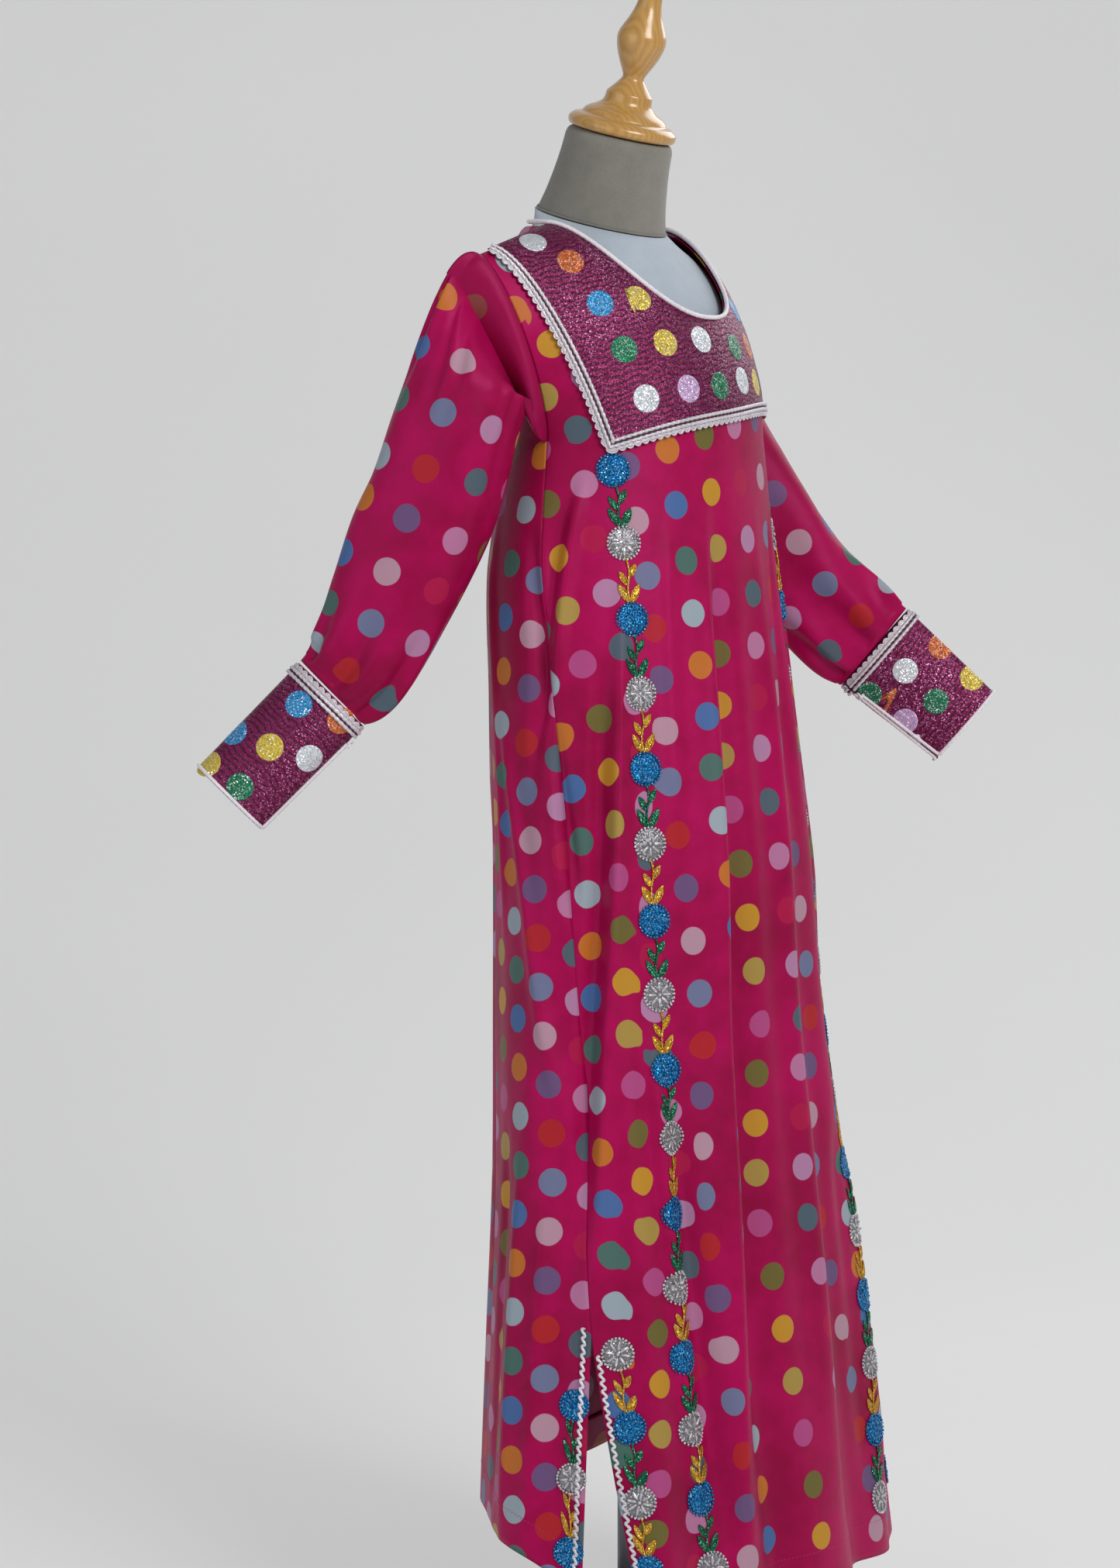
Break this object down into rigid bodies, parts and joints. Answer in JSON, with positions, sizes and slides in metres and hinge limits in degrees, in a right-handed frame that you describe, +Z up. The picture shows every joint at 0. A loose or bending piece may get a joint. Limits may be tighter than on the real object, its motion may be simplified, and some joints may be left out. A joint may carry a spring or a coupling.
{
  "type": "girl's thobe on a limbless dress form",
  "caption": "Floor-length polka-dot satin thobe with a metallic bib yoke, braided cuffs and side slits, standing on a limbless dress form with a turned neck cap.",
  "frame": {"origin": "centre of the underside of the stand's base, under the pole's axis", "axes": "+Z up, the thobe faces -Y, the wearer's right side is -X"},
  "size_m": [0.585, 0.3844, 1.3306],
  "materials": {
    "satin": "smooth printed satin, hot pink with coloured dots",
    "yoke_lame": "metallic magenta jacquard with glitter dots",
    "white_trim": "white braid and piping with silver thread",
    "form_jersey": "matte cream jersey",
    "neck_jersey": "matte grey-beige jersey",
    "cap_wood": "honey-coloured lacquered turned wood",
    "stand_steel": "dark grey satin paint"
  },
  "bodies": {
    "root": {"front_panel": "satin", "back_panel": "satin", "front_yoke": "yoke_lame", "yoke_braid": "white_trim", "neck_piping": "white_trim", "sleeve_right": "satin", "cuff_right": "yoke_lame", "cuff_braid_right": "white_trim", "cuff_piping_right": "white_trim", "sleeve_left": "satin", "cuff_left": "yoke_lame", "cuff_braid_left": "white_trim", "cuff_piping_left": "white_trim", "slit_trim_front_right": "white_trim", "slit_trim_front_left": "white_trim", "slit_trim_back_right": "white_trim", "slit_trim_back_left": "white_trim", "form_torso": "form_jersey", "form_neck": "neck_jersey", "neck_cap": "cap_wood", "stand_pole": "stand_steel", "stand_base": "stand_steel"}
  },
  "joints": []
}
